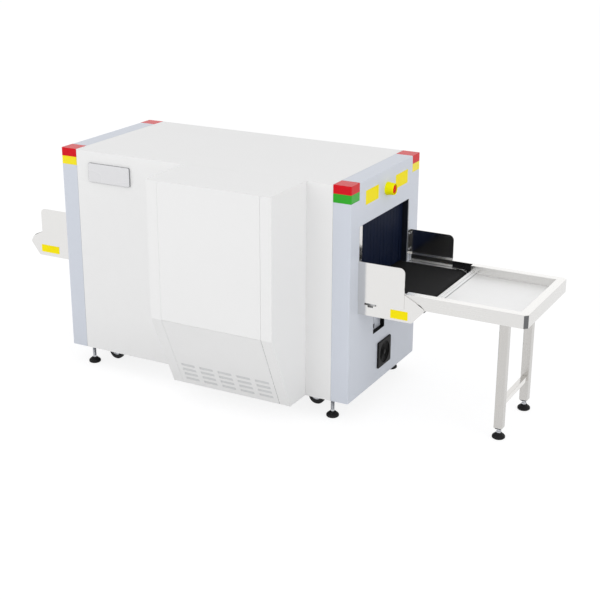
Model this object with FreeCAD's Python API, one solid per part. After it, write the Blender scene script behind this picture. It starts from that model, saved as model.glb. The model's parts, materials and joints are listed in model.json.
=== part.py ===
import FreeCAD, Part
import math
import os

# A belt-fed baggage x-ray scanner on levelling feet, with a tray table at its right end.
# Millimetres, +Z up, +X along the belt towards the table, the front faces -Y.
# The sizes below are about the middle of the cabinet on the floor; see shift_to_origin at the end.

# Cabinet; its height follows from what is stacked at its right end, up to the header
cabinet_length = 1547.0
cabinet_depth = 735.0
ground_clearance = 95.0
header_height = 199.0
sheet = 2.0
fold_radius = 4.0
seam = 0.8
return_depth = 20.0

# End covers and the lamps at their top corners
end_cover_length = 86.5
lamp_depth = 82.5
lamp_band_height = 39.5
lamp_wall = 4.0

# Front box, which bulges out of the front, set back from the right end cover
front_box_setback = 130.0
front_box_length = 625.0
front_box_proud = 310.0
front_box_foot_proud = 143.0
knee_height = 368.0
side_wrap = 55.0
backing_strip = 15.0

# Vent slots in the sloping panel
vent_columns = 5
vent_rows = 4
vent_length = 73.0
vent_width = 8.0
vent_column_pitch = 98.5
vent_row_pitch = 30.3
vent_edge = 37.0

# Base frame
rail_height = 50.0
rail_width = 60.0
cross_plate_length = 110.0
cross_plate_thickness = 6.0
cross_plate_recess = 17.0

# Tunnel and belt
tunnel_width = 504.0
tunnel_height = 308.0
tunnel_wall = 6.0
belt_side_gap = 7.0
belt_thickness = 3.0
drum_radius = 40.0
conveyor_reach = 271.5
drum_overhang = 15.0
shaft_radius = 8.0
belt_play = 0.2

# Conveyor ends
bed_margin = 21.0
bed_sheet = 3.0
bed_end_gap = 22.0
skirt_setback = 40.0
cheek_gap = 13.0
cheek_sheet = 3.0
cheek_rise = 128.0
belt_clearance = 7.0
pan_sheet = 2.0
pan_gap = 32.0
foot_setback = 22.0
nose_length = 30.0
nose_rise = 67.0
brow_length = 8.0
brow_rise = 98.0
shoulder_setback = 52.0
nose_round = 15.0
slot_start = 32.0
slot_length = 58.0
slot_height = 9.0
slot_stem_length = 26.0
slot_drop = 58.0

# Bag guides
guide_length = 223.5
guide_height = 186.0
guide_lap = 67.0
guide_sheet = 3.0
guide_round = 25.0
guide_flange = 25.0
guide_flange_sheet = 2.0

# Strip curtains
curtain_setback = 28.5
curtain_sheet = 3.0
curtain_side_gap = 5.5
curtain_floor_gap = 7.0
bead_radius = 5.0
bead_play = 0.3
curtain_rail_width = 24.0
curtain_rail_height = 8.0
strip_count = 14
strip_slit = 1.2
strip_top = 12.0

# Emergency stop
stop_y = 3.0
stop_drop = 91.0
stop_shroud_radius = 28.5
stop_shroud_length = 39.0
stop_shroud_wall = 4.5
stop_shroud_floor = 6.0
stop_head_radius = 19.0
stop_head_length = 12.0
stop_head_recess = 1.0
stop_stem_radius = 8.0
stop_stem_play = 0.1

# Connector recess and fan guard on the right end
recess_left = -113.0
recess_width = 124.0
recess_gap = 62.0
recess_height = 125.0
recess_depth = 21.0
recess_wall = 2.0
socket_left = 33.0
socket_bottom = 9.0
socket_width = 28.0
socket_height = 22.0
fan_y = 8.0
fan_base_gap = 61.0
guard_width = 140.0
guard_height = 130.0
guard_round = 8.0
guard_depth = 8.0
guard_hole_radius = 57.0
guard_rings = 2
guard_ring_width = 2.4
guard_arm_width = 5.0
guard_arms = 4
guard_boss_radius = 12.0
guard_overlap = 3.0
filter_thickness = 2.0
filter_play = 0.2

# Name plate
plate_inset = 159.0
plate_width = 238.0
plate_drop = 148.0
plate_height = 92.0
plate_thickness = 8.0
plate_round = 8.0

# Table
table_gap = 16.0
table_length = 449.0
arm_clearance = 0.5
table_rise = 33.0
table_rail_height = 60.0
table_flange = 40.0
table_sheet = 2.0
table_chamfer = 16.0
tray_drop = 38.0
tray_lip = 13.0
tray_lip_rise = 12.0
arm_length = 74.0
hook_setback = 20.0
hook_radius = 4.0
hook_play = 0.3
hook_drop = 42.0

# Table legs
leg_setback = 129.0
leg_inset = 106.5
leg_size = 40.0
leg_foot_gap = 46.0
leg_bar_size = 25.0
leg_bar_height = 105.0

# Feet
foot_end_inset = 96.5
foot_side_inset = 42.5
foot_stem_radius = 9.0
foot_nut_radius = 15.0
foot_nut_height = 9.0
foot_pad_radius = 30.0
foot_pad_height = 26.0
foot_pad_top_radius = 22.0

# Casters
caster_end_inset = 198.5
caster_side_inset = 127.5
caster_offset = 22.0
wheel_radius = 41.0
wheel_width = 26.0
wheel_lift = 3.5
axle_radius = 5.0
axle_play = 0.1
fork_sheet = 3.0
fork_gap = 5.0
fork_width = 38.0
crown_height = 5.0
swivel_radius = 20.0
swivel_gap = 0.3

V = FreeCAD.Vector
X_AXIS = V(1, 0, 0)
Y_AXIS = V(0, 1, 0)
Z_AXIS = V(0, 0, 1)

# Worked out from the sizes above
end_x = cabinet_length / 2
front_y = -cabinet_depth / 2
back_y = cabinet_depth / 2
bottom_z = ground_clearance
guard_z = bottom_z + fan_base_gap
fan_z = guard_z + guard_height / 2
recess_z = guard_z + guard_height + recess_gap
pan_bottom = recess_z + recess_height + pan_gap
pan_top = pan_bottom + pan_sheet
drum_z = pan_top + belt_clearance + belt_thickness + drum_radius
bed_top = drum_z + drum_radius
belt_height = bed_top + belt_thickness
tunnel_top = belt_height + tunnel_height
top_z = tunnel_top + header_height
lamp_z = top_z - 2 * lamp_band_height
panel_x = end_x - end_cover_length
box_right = panel_x - front_box_setback
box_left = box_right - front_box_length
box_front_y = front_y - front_box_proud
box_foot_y = front_y - front_box_foot_proud
knee_z = bottom_z + knee_height
tunnel_y = tunnel_width / 2
belt_width = tunnel_width - 2 * belt_side_gap
bed_width = belt_width + 2 * bed_margin
drum_x = end_x + conveyor_reach
drum_length = belt_width + 2 * drum_overhang
pan_end = drum_x - foot_setback
cheek_y = bed_width / 2 + cheek_gap + cheek_sheet
cheek_top = pan_bottom + cheek_rise
curtain_x = end_x - curtain_setback
curtain_z = tunnel_top - curtain_rail_height
stop_z = top_z - stop_drop
table_width = 2 * (cheek_y - cheek_sheet - arm_clearance)
table_start = drum_x + drum_radius + belt_thickness + table_gap
table_end = table_start + table_length
table_top = belt_height + table_rise
arm_tip = table_start - arm_length
hook_x = arm_tip + hook_setback
hook_z = table_top - hook_drop
leg_x = table_end - leg_setback
leg_y = table_width / 2 - leg_inset
foot_x = end_x - foot_end_inset
foot_y = back_y - foot_side_inset
caster_x = end_x - caster_end_inset
caster_y = back_y - caster_side_inset
axle_z = wheel_lift + wheel_radius
plate_z = bottom_z + cross_plate_recess
fork_top = plate_z - swivel_gap


def block(x0, x1, y0, y1, z0, z1):
    return Part.makeBox(x1 - x0, y1 - y0, z1 - z0, V(x0, y0, z0))


def rod(radius, length, start, direction):
    return Part.makeCylinder(radius, length, start, direction)


def side_prism(points, y0, y1):
    # An outline of (x, z) points, drawn along Y.
    corners = [V(x, y0, z) for x, z in points]
    face = Part.Face(Part.makePolygon(corners + corners[:1]))
    return face.extrude(V(0, y1 - y0, 0))


def end_prism(points, x0, x1):
    # An outline of (y, z) points, drawn along X.
    corners = [V(x0, y, z) for y, z in points]
    face = Part.Face(Part.makePolygon(corners + corners[:1]))
    return face.extrude(V(x1 - x0, 0, 0))


def plan_prism(points, z0, z1):
    # An outline of (x, y) points, drawn along Z.
    corners = [V(x, y, z0) for x, y in points]
    face = Part.Face(Part.makePolygon(corners + corners[:1]))
    return face.extrude(V(0, 0, z1 - z0))


def edges_along(shape, axis, keep):
    # Straight edges along an axis whose middle passes the test keep.
    found = []
    for edge in shape.Edges:
        if len(edge.Vertexes) != 2:
            continue
        run = edge.Vertexes[1].Point.sub(edge.Vertexes[0].Point)
        if run.Length > 0.01 and abs(run.dot(axis)) / run.Length > 0.999:
            if keep(edge.CenterOfMass):
                found.append(edge)
    return found


def near(a, b):
    return abs(a - b) < 0.01


def mirror_x(shape):
    return shape.mirror(V(0, 0, 0), X_AXIS)


def mirror_y(shape):
    return shape.mirror(V(0, 0, 0), Y_AXIS)


def group(*shapes):
    return Part.makeCompound(list(shapes))


def four_corners(shape):
    # The same piece at the right front, right back, left front and left back.
    return group(shape, mirror_y(shape), mirror_x(shape), mirror_x(mirror_y(shape)))


# Base frame: side rails, cross members and the floor sheet
def base_side_rails():
    inner = end_x - fold_radius
    rail = block(-inner, inner, front_y + sheet, front_y + sheet + rail_width,
                 bottom_z, bottom_z + rail_height)
    return group(rail, mirror_y(rail))


def base_cross_members():
    inner_y = back_y - sheet - rail_width
    end_rail = block(end_x - sheet - rail_width, end_x - sheet, -inner_y, inner_y,
                     bottom_z, bottom_z + rail_height)
    half = cross_plate_length / 2
    plate = block(caster_x - half, caster_x + half, -inner_y, inner_y,
                  plate_z, plate_z + cross_plate_thickness)
    return group(end_rail, mirror_x(end_rail), plate, mirror_x(plate))


def floor_sheet():
    z0 = bottom_z + rail_height
    inner = end_x - fold_radius
    return block(-inner, inner, front_y + sheet, back_y - sheet, z0, z0 + sheet)


# White covers
def wall_panel(x0, x1, outer_y, inward):
    # A flat cover with folded returns at both sides and along the top.
    y0, y1 = sorted((outer_y, outer_y + inward * sheet))
    skin = block(x0, x1, y0, y1, bottom_z, top_z - sheet)
    r0, r1 = sorted((outer_y, outer_y + inward * (sheet + return_depth)))
    return_z = bottom_z + rail_height + 2 * sheet
    left = block(x0, x0 + sheet, r0, r1, return_z, top_z - sheet)
    right = block(x1 - sheet, x1, r0, r1, return_z, top_z - sheet)
    cap = block(x0, x1, r0, r1, top_z - 2 * sheet, top_z - sheet)
    return skin.fuse([left, right, cap]).removeSplitter()


def front_left_panel():
    return wall_panel(-panel_x + seam, box_left - seam, front_y, 1)


def front_right_panel():
    return wall_panel(box_right + seam, panel_x - seam, front_y, 1)


def back_panels():
    right = wall_panel(seam / 2, panel_x - seam, back_y, -1)
    return group(right, mirror_x(right))


def top_panel():
    return block(-panel_x + seam, panel_x - seam, front_y, back_y, top_z - sheet, top_z)


# Front box
def front_box_outline(inset):
    # Side view of the box, pulled in by inset on its front, slope and bottom.
    slope = math.atan2(front_box_proud - front_box_foot_proud, knee_height)
    knee_shift = inset * math.tan(slope / 2)
    foot_shift = inset * (1 - math.sin(slope)) / math.cos(slope)
    front = box_front_y + inset
    return [
        (front_y, bottom_z + inset),
        (box_foot_y + foot_shift, bottom_z + inset),
        (front, knee_z + knee_shift),
        (front, top_z),
        (front_y, top_z),
    ]


def front_box_skin(x0, x1, inset):
    # A stretch of the folded front, slope and bottom, one sheet thick.
    outer = end_prism(front_box_outline(inset), x0, x1)
    inner = end_prism(front_box_outline(inset + sheet), x0 - 1, x1 + 1)
    deep = block(x0 - 1, x1 + 1, front_y - 1, front_y + 1, bottom_z - 1, top_z + 1)
    under_top = block(x0 - 1, x1 + 1, box_front_y - 1, back_y, bottom_z - 1, top_z - sheet)
    return outer.cut(inner).cut(deep).common(under_top)


def front_box_left_cover():
    # The folded side with its wrap on the front, and a strip that backs the seam beside it.
    x0 = box_left
    wrap = front_box_skin(x0, x0 + side_wrap - seam / 2, 0)
    strip = front_box_skin(x0 + sheet, x0 + side_wrap + backing_strip, sheet)
    side = end_prism(front_box_outline(0), x0, x0 + sheet)
    side = side.common(block(x0, x0 + sheet, box_front_y, back_y, bottom_z, top_z - sheet))
    tongue = block(x0, x0 + sheet, front_y, front_y + return_depth,
                   bottom_z + rail_height + 2 * sheet, top_z - 2 * sheet)
    return wrap.fuse([strip, side, tongue]).removeSplitter()


def front_box_right_cover():
    middle = (box_left + box_right) / 2
    return front_box_left_cover().mirror(V(middle, 0, 0), X_AXIS)


def front_box_centre():
    x0 = box_left + side_wrap + seam / 2
    x1 = box_right - side_wrap - seam / 2
    return front_box_skin(x0, x1, 0)


def front_box_face_panel():
    above = block(-end_x, end_x, box_front_y, back_y, knee_z + seam / 2, top_z)
    return front_box_centre().common(above)


def front_box_vent_panel():
    below = block(-end_x, end_x, box_front_y, back_y, 0, knee_z - seam / 2)
    panel = front_box_centre().common(below)
    return panel.cut(vent_slots())


def vent_slots():
    # Slots at right angles to the slope, in rows counted from its foot.
    rise = V(0, box_front_y - box_foot_y, knee_height).normalize()
    out = X_AXIS.cross(rise)
    middle = (box_left + box_right) / 2
    slots = []
    for row in range(vent_rows):
        for column in range(vent_columns):
            across = middle + (column - (vent_columns - 1) / 2) * vent_column_pitch
            foot = V(across, box_foot_y, bottom_z)
            centre = foot.add(rise * (vent_edge + row * vent_row_pitch))
            slots.append(slot_cutter(centre, rise, out))
    return group(*slots)


def slot_cutter(centre, rise, out):
    # A slot with chamfered ends, cut right through the sheet.
    half_width = vent_width / 2
    half = vent_length / 2
    inner = half - vent_width / 3
    depth = 4 * sheet
    start = centre.sub(out * (depth / 2))
    outline = [
        (-inner, -half_width),
        (inner, -half_width),
        (half, -half_width / 3),
        (half, half_width / 3),
        (inner, half_width),
        (-inner, half_width),
        (-half, half_width / 3),
        (-half, -half_width / 3),
    ]
    corners = [start.add(X_AXIS * u).add(rise * w) for u, w in outline]
    return Part.Face(Part.makePolygon(corners + corners[:1])).extrude(out * depth)


def front_box_top_panel():
    plate = block(box_left, box_right, box_front_y, front_y - seam, top_z - sheet, top_z)
    corners = edges_along(plate, Z_AXIS, lambda c: near(c.y, box_front_y))
    return plate.makeFillet(fold_radius / 2, corners)


# End covers
def end_cover(with_fittings):
    outer = block(panel_x, end_x, front_y, back_y, bottom_z, top_z)
    folds = edges_along(outer, Z_AXIS, lambda c: near(c.x, end_x))
    folds += edges_along(outer, Y_AXIS, lambda c: near(c.x, end_x) and near(c.z, top_z))
    outer = outer.makeFillet(fold_radius, folds)
    inner = block(panel_x - 1, end_x - sheet, front_y + sheet, back_y - sheet,
                  bottom_z - 1, top_z - sheet)
    folds = edges_along(inner, Z_AXIS, lambda c: near(c.x, end_x - sheet))
    folds += edges_along(inner, Y_AXIS, lambda c: near(c.x, end_x - sheet) and c.z > bottom_z)
    inner = inner.makeFillet(fold_radius - sheet, folds)
    cover = outer.cut(inner)
    lamp = block(panel_x - 1, end_x + 1, back_y - lamp_depth, back_y + 1, lamp_z, top_z + 1)
    mouth = block(panel_x, end_x + 1, -tunnel_y, tunnel_y, pan_top, tunnel_top)
    belt_way = block(panel_x, end_x + 1, -bed_width / 2, bed_width / 2, pan_top, bed_top)
    cutters = [lamp, mirror_y(lamp), mouth, belt_way]
    if with_fittings:
        cutters.append(block(panel_x, end_x + 1, recess_left, recess_left + recess_width,
                             recess_z, recess_z + recess_height))
        cutters.append(rod(guard_hole_radius, 3 * sheet, V(end_x - 2 * sheet, fan_y, fan_z), X_AXIS))
        stop_hole = stop_stem_radius + 2 * sheet
        cutters.append(rod(stop_hole, 3 * sheet, V(end_x - 2 * sheet, stop_y, stop_z), X_AXIS))
    for cutter in cutters:
        cover = cover.cut(cutter)
    return cover


def end_cover_right():
    return end_cover(True)


def end_cover_left():
    return mirror_x(end_cover(False))


def lamp_block(z0, z1, capped):
    # The right back lamp, a hollow moulding open below.
    y0 = back_y - lamp_depth
    outer = block(panel_x, end_x, y0, back_y, z0, z1)
    corner = edges_along(outer, Z_AXIS, lambda c: near(c.x, end_x) and near(c.y, back_y))
    outer = outer.makeFillet(fold_radius, corner)
    ceiling = z1 - lamp_wall if capped else z1 + 1
    inner = block(panel_x + lamp_wall, end_x - lamp_wall, y0 + lamp_wall, back_y - lamp_wall,
                  z0 - 1, ceiling)
    return outer.cut(inner)


def red_corner_lamps():
    return four_corners(lamp_block(top_z - lamp_band_height, top_z, True))


def green_corner_lamps():
    lamp = lamp_block(lamp_z, top_z - lamp_band_height, False)
    return group(mirror_y(lamp), mirror_x(lamp))


def yellow_corner_lamps():
    lamp = lamp_block(lamp_z, top_z - lamp_band_height, False)
    return group(lamp, mirror_x(mirror_y(lamp)))


# Tunnel
def tunnel_side_walls():
    inner = end_x - sheet
    wall = block(-inner, inner, tunnel_y, tunnel_y + tunnel_wall, bed_top, tunnel_top)
    return group(wall, mirror_y(wall))


def tunnel_roof():
    inner = end_x - sheet
    outer_y = tunnel_y + tunnel_wall
    return block(-inner, inner, -outer_y, outer_y, tunnel_top, tunnel_top + tunnel_wall)


# Conveyor
def slider_bed():
    # A long upturned channel: the belt slides on its top, its skirts stand on the pans.
    reach = drum_x - bed_end_gap
    half = bed_width / 2
    top = block(-reach, reach, -half, half, bed_top - bed_sheet, bed_top)
    skirt_reach = pan_end - skirt_setback
    skirt = block(-skirt_reach, skirt_reach, half - bed_sheet, half, pan_top, bed_top)
    return top.fuse([skirt, mirror_y(skirt)]).removeSplitter()


def belt_loop(radius, y0, y1):
    # The space inside a belt line of this radius round both drums.
    middle = block(-drum_x, drum_x, y0, y1, drum_z - radius, drum_z + radius)
    right = rod(radius, y1 - y0, V(drum_x, y0, drum_z), Y_AXIS)
    left = rod(radius, y1 - y0, V(-drum_x, y0, drum_z), Y_AXIS)
    return middle.fuse([right, left]).removeSplitter()


def conveyor_belt():
    half = belt_width / 2
    outer = belt_loop(drum_radius + belt_thickness, -half, half)
    inner = belt_loop(drum_radius, -half - 1, half + 1)
    return outer.cut(inner)


def end_drums():
    half = drum_length / 2
    drum = rod(drum_radius - belt_play, drum_length, V(drum_x, -half, drum_z), Y_AXIS)
    shaft_half = cheek_y - cheek_sheet
    shaft = rod(shaft_radius, 2 * shaft_half, V(drum_x, -shaft_half, drum_z), Y_AXIS)
    drum = drum.fuse(shaft)
    return group(drum, mirror_x(drum))


def cheek_outline():
    return [
        (end_x, pan_bottom),
        (pan_end, pan_bottom),
        (drum_x + nose_length, pan_bottom + nose_rise),
        (drum_x + brow_length, pan_bottom + brow_rise),
        (drum_x - shoulder_setback, cheek_top),
        (end_x, cheek_top),
    ]


def conveyor_cheeks():
    outer_y = cheek_y
    inner_y = outer_y - cheek_sheet
    cheek = side_prism(cheek_outline(), inner_y, outer_y)
    nose = edges_along(cheek, Y_AXIS, lambda c: c.x > drum_x - shoulder_setback - 1)
    cheek = cheek.makeFillet(nose_round, nose)
    hook_inner = table_width / 2 - table_sheet - hook_radius / 2
    hook = rod(hook_radius, inner_y - hook_inner, V(hook_x, hook_inner, hook_z), Y_AXIS)
    plain = cheek.fuse(hook)
    slotted = plain.cut(tension_slot(inner_y, outer_y))
    return group(slotted, mirror_y(slotted), mirror_x(plain), mirror_x(mirror_y(plain)))


def tension_slot(inner_y, outer_y):
    # A T-shaped slot for the belt tension tool.
    bar_left = end_x + slot_start
    bar_z = pan_bottom + slot_drop
    bar = block(bar_left, bar_left + slot_length, inner_y - 1, outer_y + 1,
                bar_z - slot_height, bar_z)
    stem_left = bar_left + (slot_length - slot_stem_length) / 2
    stem = block(stem_left, stem_left + slot_stem_length, inner_y - 1, outer_y + 1,
                 bar_z - 2 * slot_height, bar_z)
    return bar.fuse(stem)


def conveyor_pans():
    inner_y = cheek_y - cheek_sheet
    pan = block(end_x, pan_end - nose_round, -inner_y, inner_y, pan_bottom, pan_top)
    return group(pan, mirror_x(pan))


# Bag guides
def bag_guides():
    inner_y = cheek_y
    outer_y = inner_y + guide_sheet
    z0 = cheek_top - guide_lap
    z1 = z0 + guide_height
    x1 = end_x + guide_length
    plate = block(end_x, x1, inner_y, outer_y, z0, z1)
    corner = edges_along(plate, Y_AXIS, lambda c: near(c.x, x1) and near(c.z, z1))
    plate = plate.makeFillet(guide_round, corner)
    flange = block(end_x, end_x + guide_flange_sheet, inner_y - guide_flange, outer_y,
                   cheek_top + guide_flange_sheet, z1)
    return four_corners(plate.fuse(flange).removeSplitter())


# Strip curtains
def curtain_rails():
    half = curtain_rail_width / 2
    rail = block(curtain_x - half, curtain_x + half, -tunnel_y, tunnel_y, curtain_z, tunnel_top)
    groove = rod(bead_radius + bead_play, tunnel_width, V(curtain_x, -tunnel_y, curtain_z), Y_AXIS)
    rail = rail.cut(groove)
    return group(rail, mirror_x(rail))


def curtain_right():
    half = tunnel_y - curtain_side_gap
    z0 = belt_height + curtain_floor_gap
    flap = block(curtain_x - curtain_sheet / 2, curtain_x + curtain_sheet / 2, -half, half,
                 z0, curtain_z)
    bead = rod(bead_radius, 2 * half, V(curtain_x, -half, curtain_z), Y_AXIS)
    pitch = 2 * half / strip_count
    slits = []
    for index in range(1, strip_count):
        y = -half + index * pitch
        slits.append(block(curtain_x - curtain_sheet, curtain_x + curtain_sheet,
                           y - strip_slit / 2, y + strip_slit / 2,
                           z0 - 1, curtain_z - strip_top))
    return flap.fuse(bead).cut(group(*slits)).removeSplitter()


def curtain_left():
    return mirror_x(curtain_right())


# Emergency stop
def stop_shroud():
    start = V(end_x, stop_y, stop_z)
    outer = rod(stop_shroud_radius, stop_shroud_length, start, X_AXIS)
    rim = [e for e in outer.Edges if near(e.CenterOfMass.x, end_x + stop_shroud_length)]
    outer = outer.makeChamfer(stop_shroud_wall / 3, rim)
    hollow_start = V(end_x + stop_shroud_floor, stop_y, stop_z)
    hollow = rod(stop_shroud_radius - stop_shroud_wall, stop_shroud_length, hollow_start, X_AXIS)
    bore = rod(stop_stem_radius + stop_stem_play, stop_shroud_length, start, X_AXIS)
    return outer.cut(hollow).cut(bore)


def stop_button():
    head_x = end_x + stop_shroud_length - stop_head_recess - stop_head_length
    head = rod(stop_head_radius, stop_head_length, V(head_x, stop_y, stop_z), X_AXIS)
    rim = [e for e in head.Edges if near(e.CenterOfMass.x, head_x + stop_head_length)]
    head = head.makeChamfer(stop_head_length / 4, rim)
    stem = rod(stop_stem_radius, head_x - end_x + 1, V(end_x, stop_y, stop_z), X_AXIS)
    return head.fuse(stem)


# Connector recess
def connector_recess():
    y0, y1 = recess_left, recess_left + recess_width
    z0, z1 = recess_z, recess_z + recess_height
    outer = block(end_x - recess_depth, end_x, y0, y1, z0, z1)
    inner = block(end_x - recess_depth - 1, end_x + 1, y0 + recess_wall, y1 - recess_wall,
                  z0 + recess_wall, z1 - recess_wall)
    return outer.cut(inner)


def socket_plate():
    y0 = recess_left
    z0 = recess_z
    x1 = end_x - recess_depth
    plate = block(x1 - sheet, x1, y0, y0 + recess_width, z0, z0 + recess_height)
    socket = block(x1 - 2 * sheet, x1 + sheet, y0 + socket_left, y0 + socket_left + socket_width,
                   z0 + socket_bottom, z0 + socket_bottom + socket_height)
    return plate.cut(socket)


# Fan guard
def fan_guard():
    # A rounded frame with rings held by arms, and the filter that shows behind them.
    y0 = fan_y - guard_width / 2
    frame = block(end_x, end_x + guard_depth, y0, y0 + guard_width, guard_z, guard_z + guard_height)
    frame = frame.makeFillet(guard_round, edges_along(frame, X_AXIS, lambda c: True))
    hub = V(end_x, fan_y, fan_z)
    opening = guard_hole_radius - guard_overlap
    frame = frame.cut(rod(opening, guard_depth, hub, X_AXIS))
    pieces = [rod(guard_boss_radius, guard_depth, hub, X_AXIS)]
    pitch = (opening - guard_boss_radius) / (guard_rings + 1)
    for index in range(1, guard_rings + 1):
        radius = guard_boss_radius + index * pitch
        ring = rod(radius + guard_ring_width / 2, guard_depth, hub, X_AXIS)
        pieces.append(ring.cut(rod(radius - guard_ring_width / 2, guard_depth, hub, X_AXIS)))
    for index in range(guard_arms):
        arm = block(end_x, end_x + guard_depth, fan_y, fan_y + guard_hole_radius,
                    fan_z - guard_arm_width / 2, fan_z + guard_arm_width / 2)
        arm.rotate(hub, X_AXIS, (index + 0.5) * 360 / guard_arms)
        pieces.append(arm)
    filter_start = V(end_x - filter_thickness, fan_y, fan_z)
    pieces.append(rod(guard_hole_radius - filter_play, filter_thickness, filter_start, X_AXIS))
    return frame.fuse(pieces).removeSplitter()


def name_plate():
    x0 = -end_x + plate_inset
    z0 = top_z - plate_drop
    plate = block(x0, x0 + plate_width, front_y - plate_thickness, front_y, z0, z0 + plate_height)
    corners = edges_along(plate, Y_AXIS, lambda c: True)
    return plate.makeFillet(plate_round, corners)


# Table
def table_plan(inset):
    half = table_width / 2 - inset
    x1 = table_end - inset
    cut = table_chamfer - inset * (2 - math.sqrt(2))
    return [
        (table_start, -half),
        (x1 - cut, -half),
        (x1, -half + cut),
        (x1, half - cut),
        (x1 - cut, half),
        (table_start, half),
    ]


def table_corner(size, inset):
    # A block in the back outer corner of the rim, up to the underside of its flange.
    x1 = table_end - inset
    y1 = table_width / 2 - inset
    return block(x1 - size, x1, y1 - size, y1, table_top - table_rail_height, table_top - table_sheet)


def table_frame():
    # A folded rim on three sides, open at its outer corners, with hook arms that reach
    # between the cheeks.
    z0 = table_top - table_rail_height
    half = table_width / 2
    outer = plan_prism(table_plan(0), z0, table_top)
    core = plan_prism(table_plan(table_sheet), z0 - 1, table_top - table_sheet)
    window = block(table_start - 1, table_end - table_flange, table_flange - half,
                   half - table_flange, z0 - 1, table_top + 1)
    corner = table_corner(table_chamfer, 0)
    rim = outer.cut(core).cut(window).cut(corner).cut(mirror_y(corner))
    lip_y = half - table_flange
    far_lip = block(table_start, table_end - table_flange, lip_y, lip_y + table_sheet,
                    table_top - tray_drop, table_top)
    end_lip = block(table_end - table_flange, table_end - table_flange + table_sheet,
                    -lip_y - table_sheet, lip_y + table_sheet, table_top - tray_drop, table_top)
    arm = block(arm_tip, table_start + 1, half - table_sheet, half, z0, table_top)
    notch_radius = hook_radius + hook_play
    notch = block(hook_x - notch_radius, hook_x + notch_radius, half - table_sheet - 1, half + 1,
                  z0 - 1, hook_z)
    notch_round = rod(notch_radius, table_sheet + 2, V(hook_x, half - table_sheet - 1, hook_z), Y_AXIS)
    arm = arm.cut(notch.fuse(notch_round))
    return rim.fuse([far_lip, mirror_y(far_lip), end_lip, arm, mirror_y(arm)]).removeSplitter()


def table_tray():
    # The tray floor hangs between the rim's lips, with a folded lip at the belt end.
    half = table_width / 2 - table_flange
    x1 = table_end - table_flange
    z1 = table_top - tray_drop
    floor = block(table_start, x1 + table_sheet, -half - table_sheet, half + table_sheet,
                  z1 - table_sheet, z1)
    lip_top = z1 + tray_lip_rise
    riser = block(table_start + tray_lip - table_sheet, table_start + tray_lip, -half, half,
                  z1 - table_sheet, lip_top)
    lip = block(table_start, table_start + tray_lip, -half, half, lip_top - table_sheet, lip_top)
    return floor.fuse([riser, lip]).removeSplitter()


def table_corner_posts():
    # Dark fillers that close the two outer corners, flush with the chamfer.
    z0 = table_top - table_rail_height
    back = table_corner(2 * table_chamfer, table_sheet)
    back = back.common(plan_prism(table_plan(table_sheet), z0, table_top))
    face = table_corner(table_chamfer, 0).common(plan_prism(table_plan(0), z0, table_top))
    post = back.fuse(face).removeSplitter()
    return group(post, mirror_y(post))


def table_legs():
    half = leg_size / 2
    top = table_top - tray_drop - table_sheet
    leg = block(leg_x - half, leg_x + half, leg_y - half, leg_y + half, leg_foot_gap, top)
    leg = leg.makeFillet(fold_radius, edges_along(leg, Z_AXIS, lambda c: True))
    return group(leg, mirror_y(leg))


def table_leg_bar():
    half = leg_bar_size / 2
    y = leg_y - leg_size / 2
    z = leg_foot_gap + leg_bar_height
    return block(leg_x - half, leg_x + half, -y, y, z, z + leg_bar_size)


# Feet
def foot_stem(x, y, top):
    stem = rod(foot_stem_radius, top - foot_pad_height, V(x, y, foot_pad_height), Z_AXIS)
    corners = []
    for index in range(6):
        angle = math.radians(60 * index)
        corners.append((x + foot_nut_radius * math.cos(angle), y + foot_nut_radius * math.sin(angle)))
    nut = plan_prism(corners, top - foot_nut_height, top)
    return stem.fuse(nut)


def foot_pad(x, y):
    cone_start = foot_pad_height / 3
    disc = rod(foot_pad_radius, cone_start, V(x, y, 0), Z_AXIS)
    cone = Part.makeCone(foot_pad_radius, foot_pad_top_radius, foot_pad_height - cone_start,
                         V(x, y, cone_start), Z_AXIS)
    return disc.fuse(cone)


def foot_stems():
    scanner = foot_stem(foot_x, foot_y, bottom_z)
    table = foot_stem(leg_x, leg_y, leg_foot_gap)
    return group(scanner, mirror_y(scanner), mirror_x(scanner), mirror_x(mirror_y(scanner)),
                 table, mirror_y(table))


def foot_pads():
    scanner = foot_pad(foot_x, foot_y)
    table = foot_pad(leg_x, leg_y)
    return group(scanner, mirror_y(scanner), mirror_x(scanner), mirror_x(mirror_y(scanner)),
                 table, mirror_y(table))


# Casters: the fork swivels under its plate, the wheel rolls on the fork's axle
def caster_fork(x, y):
    axle_x = x - caster_offset
    inner = wheel_width / 2 + fork_gap
    outer = inner + fork_sheet
    crown_z = axle_z + wheel_radius + fork_gap
    crown = block(axle_x - fork_width / 2, x + swivel_radius, y - outer, y + outer,
                  crown_z, crown_z + crown_height)
    bearing = rod(swivel_radius, fork_top - crown_z - crown_height,
                  V(x, y, crown_z + crown_height), Z_AXIS)
    low = axle_radius + fork_sheet
    ear = side_prism([
        (axle_x - fork_width / 2, crown_z + crown_height),
        (axle_x - low, axle_z - low),
        (axle_x + low, axle_z - low),
        (x + swivel_radius - fork_gap, crown_z + crown_height),
    ], y + inner, y + outer)
    other_ear = ear.mirror(V(0, y, 0), Y_AXIS)
    axle = rod(axle_radius, 2 * outer, V(axle_x, y - outer, axle_z), Y_AXIS)
    return crown.fuse([bearing, ear, other_ear, axle]).removeSplitter()


def caster_wheel(x, y):
    axle_x = x - caster_offset
    half = wheel_width / 2
    start = V(axle_x, y - half, axle_z)
    tyre = rod(wheel_radius, wheel_width, start, Y_AXIS)
    return tyre.cut(rod(axle_radius + axle_play, wheel_width, start, Y_AXIS))


caster_places = {
    "front_right": (caster_x, -caster_y),
    "back_right": (caster_x, caster_y),
    "front_left": (-caster_x, -caster_y),
    "back_left": (-caster_x, caster_y),
}

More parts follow.
